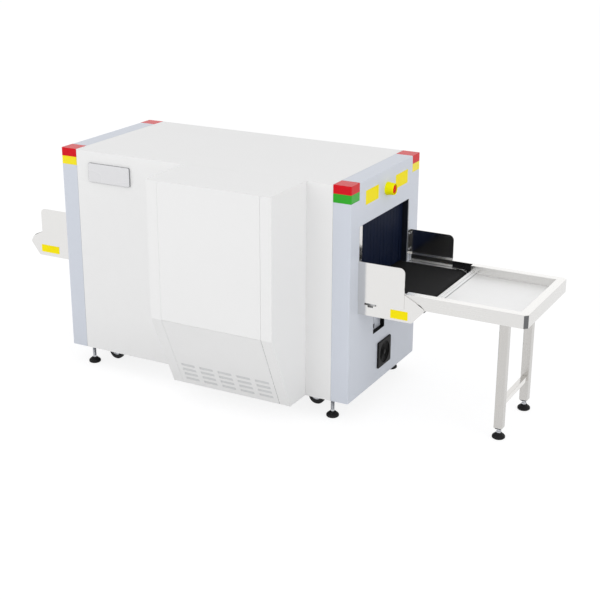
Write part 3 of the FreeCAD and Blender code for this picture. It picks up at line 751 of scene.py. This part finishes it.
def addSeamLightFill():
    # a white strip just behind the joint between the box and the panel beside it: painted light that fills in
    # the joint's shadow
    low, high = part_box("front_right_panel")
    x = (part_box("front_box_right_cover")[1].x + low.x) / 2
    piece = addBlock((x - seamLightFill["wide"] / 2, low.y + seamLightFill["recess"], low.z),
                     (x + seamLightFill["wide"] / 2, low.y + seamLightFill["deep"], high.z))
    dress(piece, "seamLightFill", "white_paint")


addSeamLightFill()

seamShade = {"wide": 0.0009, "deep": 0.0010, "recess": 0.0003}


def slopedSheet(x0, x1, thick, behind, low=0.0, high=0.0):
    # a thin sheet behind the slope, from low above its foot to high below its top
    foot, rise = slopeFrame()
    inward = Vector((0, rise.z, -rise.y))
    panelLow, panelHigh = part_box("front_box_vent_panel")
    length = (Vector((0, panelLow.y, panelHigh.z)) - foot).length
    piece = addBlock((x0, 0, 0), (x1, thick, 1))
    only(piece)
    piece.scale.z = length - low - high
    piece.rotation_euler.x = math.atan2(-rise.y, rise.z)
    piece.location = foot + inward * behind + rise * low
    applyPlace(piece)
    return piece


def addSlopeSeam():
    # the shadow in the right-hand joint of the slope
    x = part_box("front_box_vent_panel")[1].x
    piece = slopedSheet(x, x + seamShade["wide"], seamShade["deep"], seamShade["recess"])
    dress(piece, "slopeSeam", "pad_rubber")


addSlopeSeam()

baffle = {"behind": 0.0024, "thick": 0.0010, "side": 0.0145, "low": 0.016, "high": 0.012}


def addVentBaffle():
    # a pale grey sheet close behind the slots, whose grey paints the shade seen in the slots
    low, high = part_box("front_box_vent_panel")
    piece = slopedSheet(low.x + baffle["side"], high.x - baffle["side"], baffle["thick"], baffle["behind"],
                        baffle["low"], baffle["high"])
    dress(piece, "ventBaffle", "baffleShadeGrey", 0.0003, 1)


addVentBaffle()

trims = {"thick": 0.0015, "nearWide": 0.0285, "farWide": 0.003, "nearLow": 0.753, "farLow": 0.602}


def addMouthTrims():
    # bright strips on both upright sides of each mouth
    low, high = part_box("curtain_rails")
    strips = []
    for x in (endX, leftEndX - trims["thick"]):
        for y0, y1, bottom in ((low.y - trims["nearWide"], low.y, trims["nearLow"]),
                               (high.y, high.y + trims["farWide"], trims["farLow"])):
            strips.append(addBlock((x, y0, bottom), (x + trims["thick"], y1, high.z)))
    dress(joined(strips), "mouthTrims", "guideSteel", 0.0003)


addMouthTrims()
print("covers done")


# corner lamps

for node in ("red_corner_lamps", "green_corner_lamps", "yellow_corner_lamps"):
    softened(node, edges=0.0007)
print("lamps done")


# belt and conveyor

belt = {"thick": 0.003, "turn": 24, "nose": 0.027, "overhang": 0.015, "shaft": 0.008, "gap": 0.0002,
        "shaftInset": 0.0035}


def addBelt():
    low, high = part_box("conveyor_belt")
    radius = belt["nose"]
    low.z = high.z - 2 * radius
    piece = addBlock(low, high)
    pick(piece, "FACE", lambda face: abs(face.normal.y) > 0.9)
    bpy.ops.mesh.delete(type="FACE")
    bpy.ops.object.mode_set(mode="OBJECT")
    # a hair under half the height, so that the two bevels of an end meet without crossing
    bevelWhere(piece, along((0, 1, 0)), radius * 0.99999, belt["turn"])
    pick(piece, "VERT", lambda vert: True)
    bpy.ops.mesh.remove_doubles(threshold=0.0001)
    bpy.ops.mesh.normals_make_consistent(inside=False)
    bpy.ops.object.mode_set(mode="OBJECT")
    modify(piece, "SOLIDIFY", thickness=belt["thick"], offset=-1, use_even_offset=True)
    dress(piece, "beltLoop", "belt_black", 0.0005, 2, ["conveyor_belt"])
    cheekLow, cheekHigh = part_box("conveyor_cheeks")
    z = high.z - radius
    rollers = []
    for x in (low.x + radius, high.x - radius):
        roller = addCylinder(radius - belt["thick"] - belt["gap"], (x, low.y - belt["overhang"], z),
                             (x, high.y + belt["overhang"], z), 48)
        soften(roller, 0.0015, 3)
        shaft = addCylinder(belt["shaft"], (x, cheekLow.y + belt["shaftInset"], z),
                            (x, cheekHigh.y - belt["shaftInset"], z), 24)
        rollers += [roller, shaft]
    dress(joined(rollers), "beltRollers", "satinSteel", stands=["end_drums"])


addBelt()
conveyorFolds = {
    "slider_bed": (0.0, "satinSteel"), "conveyor_cheeks": (0.0, "guideSteel"),
    "conveyor_pans": (0.0015, "stainless"), "bag_guides": (0.0018, "guideSteel"),
}
for node, (fold, finish) in conveyorFolds.items():
    softened(node, folds=fold, finish=finish)

noses = {"foot": 0.011, "footX": 0.775, "footTop": 0.53, "tip": 0.018, "tipX": 0.815, "tipTop": 0.595}


def reachNoses():
    # the noses beside the table reach a little further, over the ends of the drum
    piece = bpy.data.objects["conveyor_cheeksSoft"]
    footX, tipX, footTop, tipTop = noses["footX"], noses["tipX"], noses["footTop"], noses["tipTop"]
    moveWhere(piece, "VERT", lambda vert: footX < vert.co.x < tipX and vert.co.z < footTop,
              (noses["foot"], 0, 0))
    moveWhere(piece, "VERT", lambda vert: vert.co.x > tipX and vert.co.z < tipTop, (noses["tip"], 0, 0))
    nothingSelected()


reachNoses()

wing = {"top": 0.5969, "thick": 0.0012, "clear": 0.0065}


def addBedWings():
    # steel strips beside the bed that run out to the rollers, at both ends
    bedLow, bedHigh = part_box("slider_bed")
    beltLow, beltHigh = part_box("conveyor_belt")
    cheekLow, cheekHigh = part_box("conveyor_cheeks")
    strips = []
    for x0, x1 in ((endX, beltHigh.x - belt["nose"]), (beltLow.x + belt["nose"], leftEndX)):
        for y0, y1 in ((cheekLow.y + wing["clear"], bedLow.y), (bedHigh.y, cheekHigh.y - wing["clear"])):
            strips.append(addBlock((x0, y0, wing["top"] - wing["thick"]), (x1, y1, wing["top"])))
    dress(joined(strips), "bedWings", "satinSteel", 0.0002, 1)


addBedWings()

ledge = {"wide": 0.015, "thick": 0.0012, "start": 0.0025, "reach": 0.2215, "inset": 0.001}


def addCheekLedges():
    # a narrow fold along the top of each cheek, towards the belt, in a lighter steel: a painted highlight on
    # its top
    low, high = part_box("conveyor_cheeks")
    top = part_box("table_frame")[1].z
    strips = []
    for x in (endX + ledge["start"], leftEndX - ledge["start"] - ledge["reach"]):
        for y in (low.y + ledge["inset"], high.y - ledge["inset"] - ledge["wide"]):
            far = (x + ledge["reach"], y + ledge["wide"], top + ledge["thick"])
            strips.append(addBlock((x, y, top), far))
    dress(joined(strips), "cheekLedges", "topHighlightSteel", 0.0003)


addCheekLedges()

screw = {"head": 0.0050, "high": 0.0026, "socket": 0.0026, "washer": 0.0062}


def makeScrew():
    # a pan head on a washer with a six-sided socket, facing +X at the origin
    washer = lathe([(0.0, 0.0), (screw["washer"], 0.0), (screw["washer"], 0.0007), (0.0, 0.0008)],
                   (0, 0, 0), (1, 0, 0), 24)
    head = lathe([(0.0, 0.0005), (screw["head"], 0.0006), (screw["head"], screw["high"] * 0.55),
                  (screw["head"] * 0.8, screw["high"] * 0.9), (screw["head"] * 0.55, screw["high"]),
                  (0.0, screw["high"])], (0, 0, 0), (1, 0, 0), 24)
    cutWith(head, addCylinder(screw["socket"], (0.0012, 0, 0), (0.005, 0, 0), 6))
    piece = joined([head, washer])
    smooth(piece, 30)
    return piece


screwRows = {"inset": 0.014, "drops": (0.020, 0.096), "flangeX": 0.543, "middleX": -0.2325}


def addGuideScrews():
    # two screws in each guide's flange, the left end turned to face the other way
    master = makeScrew()
    low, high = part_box("bag_guides")
    rightX = screwRows["flangeX"]
    leftX = 2 * screwRows["middleX"] - rightX
    pieces = []
    for x, turn in ((rightX, 0.0), (leftX, math.pi)):
        for y in (low.y + screwRows["inset"], high.y - screwRows["inset"]):
            for drop in screwRows["drops"]:
                place = Matrix.Translation((x, y, high.z - drop)) @ Matrix.Rotation(turn, 4, "Z")
                pieces.append(copied(master, place))
    bpy.data.objects.remove(master)
    finishPiece(joined(pieces), "guideScrews", "scanner", "bright_zinc")


addGuideScrews()
print("conveyor done")


# strip curtains

curtain = {"strips": 14, "thick": 0.0028, "slit": 0.0008, "bow": 0.0016, "header": 0.012, "bead": 0.005,
           "bend": 0.09}


def addCurtain(node, seed):
    low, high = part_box(node)
    draw = random.Random(seed)
    x = (low.x + high.x) / 2
    beadZ = high.z - curtain["bead"]
    half = curtain["thick"] / 2
    pitch = (high.y - low.y) / curtain["strips"]
    master = addBlock((x - half, low.y + curtain["slit"] / 2, low.z),
                      (x + half, low.y + pitch - curtain["slit"] / 2, beadZ - curtain["header"] / 2))
    bevelWhere(master, along((0, 0, 1)), 0.0009, 2)
    pick(master, "EDGE", along((0, 0, 1)))
    bpy.ops.mesh.subdivide(number_cuts=7)
    bpy.ops.object.mode_set(mode="OBJECT")
    pieces = []
    for index in range(curtain["strips"]):
        strip = copied(master, Matrix.Translation((0, index * pitch, 0)))
        bow = draw.uniform(-curtain["bow"], curtain["bow"])
        moveWhere(strip, "FACE", facing((0, 0, -1)), (bow, 0, 0), use_proportional_edit=True,
                  proportional_edit_falloff="SMOOTH", proportional_size=0.22)
        pieces.append(strip)
    bpy.data.objects.remove(master)
    header = addBlock((x - half - 0.0003, low.y, beadZ - curtain["header"]),
                      (x + half + 0.0003, high.y, beadZ))
    soften(header, 0.0005, 2)
    bead = addCylinder(curtain["bead"], (x, low.y, beadZ), (x, high.y, beadZ), 24)
    soften(bead, 0.0008, 2)
    piece = joined([*pieces, header, bead])
    smooth(piece, 35)
    nothingSelected()
    piece.name = piece.data.name = node + "Strips"
    piece.data.materials.clear()
    piece.data.materials.append(materials["leaded_rubber"])
    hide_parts(node)
    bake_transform(piece)


addCurtain("curtain_right", 11)
addCurtain("curtain_left", 23)
print("curtains done")


# emergency stop and plain plates on the end cover

stop = {"wall": 0.0058, "rim": 0.0016, "taper": 0.0018, "flare": 0.0018, "floor": 0.006, "bore": 0.0105,
        "dome": 0.0045, "button": 0.0190, "stem": 0.008, "head": 0.017}


def addStop():
    low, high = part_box("stop_shroud")
    centre = (low + high) / 2
    centre.x = low.x
    radius = (high.y - low.y) / 2
    length = high.x - low.x
    inner = radius - stop["wall"]
    rim = stop["rim"]
    taper = stop["taper"]
    bore = stop["bore"]
    shroud = lathe([
        (bore, 0.0), (radius + stop["flare"], 0.0), (radius + stop["flare"], length * 0.18),
        (radius, length * 0.35), (radius - taper * 0.35, length * 0.62),
        (radius - taper, length - rim), (radius - taper - rim * 0.3, length - rim * 0.3),
        (radius - taper - rim, length), (inner + rim * 0.6, length), (inner + rim * 0.2, length - rim * 0.3),
        (inner, length - rim), (inner, stop["floor"]), (bore, stop["floor"]), (bore, 0.0),
    ], centre, (1, 0, 0), 64)
    smooth(shroud, 40)
    finishPiece(shroud, "stopShroud", "scanner", "signalYellow", ["stop_shroud"])
    low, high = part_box("stop_button")
    size = stop["button"]
    length = high.x - low.x
    dome = stop["dome"]
    stem, head = stop["stem"], length - stop["head"]
    profile = [(0.0, 0.0), (stem, 0.0), (stem, head), (size * 0.9, head), (size, head + 0.002),
               (size, length - dome - 0.001)]
    for step in range(7):
        angle = math.radians(90 * step / 6)
        profile.append((size * (0.55 + 0.42 * math.cos(angle)), length - dome + dome * math.sin(angle)))
    profile.append((0.0, length))
    button = lathe(profile, centre, (1, 0, 0), 48)
    smooth(button, 40)
    finishPiece(button, "stopButton", "stop_button", "red_plastic", ["stop_button"])


plates = {
    "stopPlateNear": {"low": (-0.067, 0.992), "high": (0.065, 1.056)},
    "stopPlateFar": {"low": (0.250, 0.992), "high": (0.385, 1.056)},
}
cheekPlates = {
    "cheekPlateRight": {"low": (0.6995, 0.515), "high": (0.7825, 0.555)},
    "cheekPlateLeft": {"low": (-1.2415, 0.524), "high": (-1.1305, 0.562)},
}
film, plateCorner = 0.0005, 0.003


def addPlainPlates():
    for name, place in plates.items():
        piece = roundedBlock((endX, *place["low"]), (endX + film, *place["high"]), (1, 0, 0),
                             plateCorner, 0.0)
        finishPiece(piece, name, "scanner", "yellow_plastic")
    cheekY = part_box("conveyor_cheeks")[0].y
    for name, place in cheekPlates.items():
        low, high = place["low"], place["high"]
        piece = roundedBlock((low[0], cheekY - film, low[1]), (high[0], cheekY, high[1]), (0, 1, 0),
                             plateCorner, 0.0)
        finishPiece(piece, name, "scanner", "yellow_plastic")


def addNamePlate():
    low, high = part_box("name_plate")
    # the back's grey shows on the plate's sides as their painted shade
    back = roundedBlock((low.x, low.y + 0.0002, low.z), high, (0, 1, 0), 0.008, 0.0004)
    finishPiece(back, "namePlateBack", "scanner", "edgeShadeGrey", ["name_plate"])
    inset = 0.0010
    face = roundedBlock((low.x + inset, low.y, low.z + inset),
                        (high.x - inset, low.y + 0.001, high.z - inset), (0, 1, 0), 0.007, 0.0)
    finishPiece(face, "namePlateFace", "scanner", "plate_white")


addStop()
addPlainPlates()
addNamePlate()
print("stop and plates done")


# fan guard

guard = {"corner": 0.008, "opening": 0.052, "rings": 6, "wire": 0.0011, "boss": 0.012, "arm": 0.0016}


def addFanGuard():
    low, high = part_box("fan_guard")
    front = high.x
    back = endX
    centre = Vector((back, (low.y + high.y) / 2, (low.z + high.z) / 2))
    rim = roundedBlock((back, low.y, low.z), (front, high.y, high.z), (1, 0, 0), guard["corner"], 0.0, 8)
    bevelWhere(rim, lambda edge: all(abs(v.co.x - front) < 1e-5 for v in edge.verts), 0.0025, 3)
    cutWith(rim, addCylinder(guard["opening"], centre - Vector((0.01, 0, 0)),
                             centre + Vector((0.02, 0, 0)), 64))
    soften(rim, 0.0006, 2, 50)
    smooth(rim, 35)
    parts = [rim]
    step = (guard["opening"] - guard["boss"]) / (guard["rings"] + 1)
    for index in range(1, guard["rings"] + 1):
        nothingSelected()
        bpy.ops.mesh.primitive_torus_add(
            location=(front - 0.003, centre.y, centre.z), rotation=(0, math.pi / 2, 0),
            major_radius=guard["boss"] + index * step, minor_radius=guard["wire"],
            major_segments=56, minor_segments=8)
        ring = bpy.context.object
        applyPlace(ring)
        smooth(ring, 60)
        parts.append(ring)
    for index in range(4):
        arm = addBlock((front - 0.006, centre.y + guard["boss"] * 0.8, centre.z - guard["arm"]),
                       (front - 0.003, centre.y + guard["opening"] + 0.001, centre.z + guard["arm"]))
        only(arm)
        bpy.ops.object.mode_set(mode="EDIT")
        bpy.ops.mesh.select_all(action="SELECT")
        bpy.ops.transform.rotate(value=math.radians(45 + 90 * index), orient_axis="X",
                                 center_override=tuple(centre))
        bpy.ops.object.mode_set(mode="OBJECT")
        soften(arm, 0.0005, 2)
        parts.append(arm)
    size = guard["boss"]
    boss = lathe([(0.0, -0.0065), (size, -0.0065), (size, -0.0015), (size - 0.002, 0.0), (0.0, 0.0)],
                 (front - 0.0005, centre.y, centre.z), (1, 0, 0), 40)
    smooth(boss, 40)
    parts.append(boss)
    finishPiece(joined(parts), "fanGuard", "scanner", "black_plastic", ["fan_guard"])
    filterDisc = addCylinder(guard["opening"] + 0.0015, (back - 0.002, centre.y, centre.z),
                             (back + 0.0015, centre.y, centre.z), 64)
    finishPiece(filterDisc, "fanFilter", "scanner", "pad_rubber")


addFanGuard()
print("fan guard done")


# table

tableFolds = {
    "table_frame": (0.0022, "rimSteel"), "table_tray": (0.0016, "satinSteel"),
    "table_legs": (0.0, "uprightSteel"), "table_leg_bar": (0.0020, "stainless"),
    "table_corner_posts": (0.0, "dark_filler"),
}
for node, (fold, finish) in tableFolds.items():
    softened(node, folds=fold, finish=finish)

rimCap = {"start": 0.8722, "inset": 0.0010, "wide": 0.0395, "chamfer": 0.0155, "thick": 0.0003}
arms = {"reach": 0.032, "plate": 0.002, "shadeLining": 0.0005, "start": 0.7975, "end": 0.8715,
        "nearCap": 0.0395, "farCap": 0.014}


def addArmPlates():
    # the hook arms run on to the guides, capped on top in a lighter steel as painted highlight, and lined
    # inside with a thin dark sheet as painted shade in the gap
    low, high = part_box("table_frame")
    startX = arms["start"] - arms["reach"]
    tips, shadeLinings, caps = [], [], []
    for outer, inward, wide in ((low.y, 1, arms["nearCap"]), (high.y, -1, arms["farCap"])):
        inner = outer + inward * arms["plate"]
        cap = outer + inward * wide
        edge = outer + inward * rimCap["inset"]
        caps.append(addBlock((startX, min(edge, cap), high.z),
                             (rimCap["start"], max(edge, cap), high.z + rimCap["thick"])))
        # a thin dark sheet inside each arm: painted shade for the unlit gap
        shadeLining = inner + inward * arms["shadeLining"]
        tips.append(addBlock((startX, min(outer, inner), low.z),
                             (arms["start"] + 0.001, max(outer, inner), high.z)))
        shadeLinings.append(addBlock((startX, min(inner, shadeLining), low.z + 0.001),
                                (arms["end"], max(inner, shadeLining), high.z - 0.001)))
    dress(joined(tips), "armTips", "rimSteel", 0.0003, 1)
    dress(joined(shadeLinings), "armShadeLinings", "pad_rubber")
    dress(joined(caps), "armCaps", "topHighlightSteel")


addArmPlates()

trayStep = {"start": 0.013, "deep": 0.012, "rise": 0.006, "side": 0.0025, "sheet": 0.002, "bead": 0.0016}
legPlug = {"size": 0.0185, "taper": 0.66, "high": 0.008, "lift": 0.006, "middle": 0.020}


def addTrayStep():
    # a low step beside the tray's belt-end lip, with a fine dark strip at its foot as a painted shadow line
    low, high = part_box("table_tray")
    floor = low.z + trayStep["sheet"]
    stepX = low.x + trayStep["start"]
    shadowLineX = stepX + trayStep["deep"]
    y0, y1 = low.y + trayStep["side"], high.y - trayStep["side"]
    step = addBlock((stepX, y0, floor), (shadowLineX, y1, floor + trayStep["rise"]))
    bevelWhere(step, lambda edge: edge.verts[0].co.z + edge.verts[1].co.z > 2 * floor + 0.01, 0.0015, 3)
    dress(step, "trayStep", "satinSteel")
    # a dark grey strip along the step's foot: a painted shadow line
    bead = addBlock((shadowLineX, y0, floor), (shadowLineX + trayStep["bead"], y1, floor + 0.001))
    dress(bead, "trayShadowLine", "edgeShadeGrey")


def addRimCap():
    # the top of the rim in a lighter steel, a painted highlight, with its two outer corners cut off
    low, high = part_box("table_frame")
    start, inset, wide = rimCap["start"], rimCap["inset"], rimCap["wide"]
    cap = addBlock((start, low.y + inset, high.z), (high.x - inset, high.y - inset, high.z + rimCap["thick"]))
    upright = along((0, 0, 1))
    bevelWhere(cap, lambda edge: upright(edge) and edge.verts[0].co.x > start + 0.1, rimCap["chamfer"], 1)
    cutWith(cap, addBlock((start - 0.01, low.y + wide, high.z - 0.01),
                          (high.x - wide, high.y - wide, high.z + 0.01)))
    dress(cap, "rimCap", "topHighlightSteel")


def addLegPlugs():
    # the legs end a little higher, on a tapered plug each
    low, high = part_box("table_legs")
    legs = bpy.data.objects["table_legsSoft"]
    moveWhere(legs, "VERT", lambda vert: vert.co.z < low.z + 0.002, (0, 0, legPlug["lift"]))
    low.z += legPlug["lift"]
    half = legPlug["size"]
    x = (low.x + high.x) / 2
    plugs = []
    for y in (low.y + legPlug["middle"], high.y - legPlug["middle"]):
        plug = addBlock((x - half, y - half, low.z - legPlug["high"]), (x + half, y + half, low.z))
        pick(plug, "FACE", facing((0, 0, -1)))
        bpy.ops.transform.resize(value=(legPlug["taper"], legPlug["taper"], 1))
        bpy.ops.object.mode_set(mode="OBJECT")
        soften(plug, 0.0012, 3, 20)
        smooth(plug)
        plugs.append(plug)
    finishPiece(joined(plugs), "legPlugs", "scanner", "bright_zinc")


addTrayStep()
addRimCap()
addLegPlugs()
print("table done")


# feet

foot = {"pad": 0.030, "stem": 0.009, "pitch": 0.0025, "depth": 0.0008, "nut": 0.0080}
feet = {
    "scanner": {"xs": (0.4445, -0.9095), "ys": (-0.170, 0.480), "carrier": "end_cover_right",
                "nutFoot": 0.0865, "nutSize": 0.015},
    "table": {"xs": (1.1915,), "ys": (-0.017, 0.327), "carrier": "table_legs",
              "nutFoot": 0.0262, "nutSize": 0.0125},
}


def addFeet():
    radius = foot["pad"]
    pad = lathe([
        (0.0, 0.0), (radius - 0.004, 0.0), (radius - 0.0008, 0.003), (radius, 0.0075),
        (radius - 0.001, 0.0120), (radius - 0.005, 0.0165), (radius - 0.0105, 0.0205),
        (radius - 0.0135, 0.0232), (radius - 0.0148, 0.0252), (radius - 0.0165, 0.0260), (0.0, 0.0260),
    ], (0, 0, 0), (0, 0, 1), 48)
    smooth(pad, 35)
    pads, stems = [], []
    for spec in feet.values():
        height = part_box(spec["carrier"])[0].z
        profile = [(0.0, 0.0258), (foot["stem"], 0.0258)]
        z = 0.034
        while z < height - 0.012:
            profile += [(foot["stem"], z), (foot["stem"] - foot["depth"], z + foot["pitch"] / 2)]
            z += foot["pitch"]
        profile += [(foot["stem"], height - 0.008), (foot["stem"], height), (0.0, height)]
        stem = lathe(profile, (0, 0, 0), (0, 0, 1), 24)
        smooth(stem, 50)
        nut = addCylinder(spec["nutSize"], (0, 0, spec["nutFoot"]), (0, 0, spec["nutFoot"] + foot["nut"]), 6)
        soften(nut, 0.0012, 2, 50)
        smooth(nut, 35)
        stem = joined([stem, nut])
        for x in spec["xs"]:
            for y in spec["ys"]:
                pads.append(copied(pad, Matrix.Translation((x, y, 0))))
                stems.append(copied(stem, Matrix.Translation((x, y, 0))))
        bpy.data.objects.remove(stem)
    bpy.data.objects.remove(pad)
    finishPiece(joined(pads), "footPads", "scanner", "pad_rubber", ["foot_pads"])
    finishPiece(joined(stems), "footStems", "scanner", "bright_zinc", ["foot_stems"])


addFeet()
print("feet done")


# casters

caster = {"tyre": 0.041, "width": 0.026, "hub": 0.020}


def addCasters():
    radius, half = caster["tyre"], caster["width"] / 2
    tyre = lathe([
        (caster["hub"], -half + 0.002), (radius - 0.006, -half), (radius - 0.002, -half + 0.002),
        (radius, -half + 0.006), (radius, half - 0.006), (radius - 0.002, half - 0.002),
        (radius - 0.006, half), (caster["hub"], half - 0.002), (caster["hub"], -half + 0.002),
    ], (0, 0, 0), (0, 1, 0), 56)
    smooth(tyre, 40)
    hub = lathe([
        (0.0055, -half), (0.010, -half), (0.011, -half + 0.003), (caster["hub"] - 0.003, -half + 0.004),
        (caster["hub"], -half + 0.002), (caster["hub"], half - 0.002), (caster["hub"] - 0.003, half - 0.004),
        (0.011, half - 0.003), (0.010, half), (0.0055, half), (0.0055, -half),
    ], (0, 0, 0), (0, 1, 0), 40)
    smooth(hub, 40)
    for place in ("front_right", "back_right", "front_left", "back_left"):
        node = "caster_wheel_" + place
        centre = boxMiddle(node)
        twin = copied(tyre, Matrix.Translation(centre))
        finishPiece(twin, node + "Tyre", node, "wheel_nylon", [node])
        twin = copied(hub, Matrix.Translation(centre))
        finishPiece(twin, node + "Hub", node, "bright_zinc")
        softened("caster_fork_" + place, folds=0.0012, edges=0.0004)
    bpy.data.objects.remove(tyre)
    bpy.data.objects.remove(hub)


addCasters()
print("casters done")


# last: clear the selection

nothingSelected()
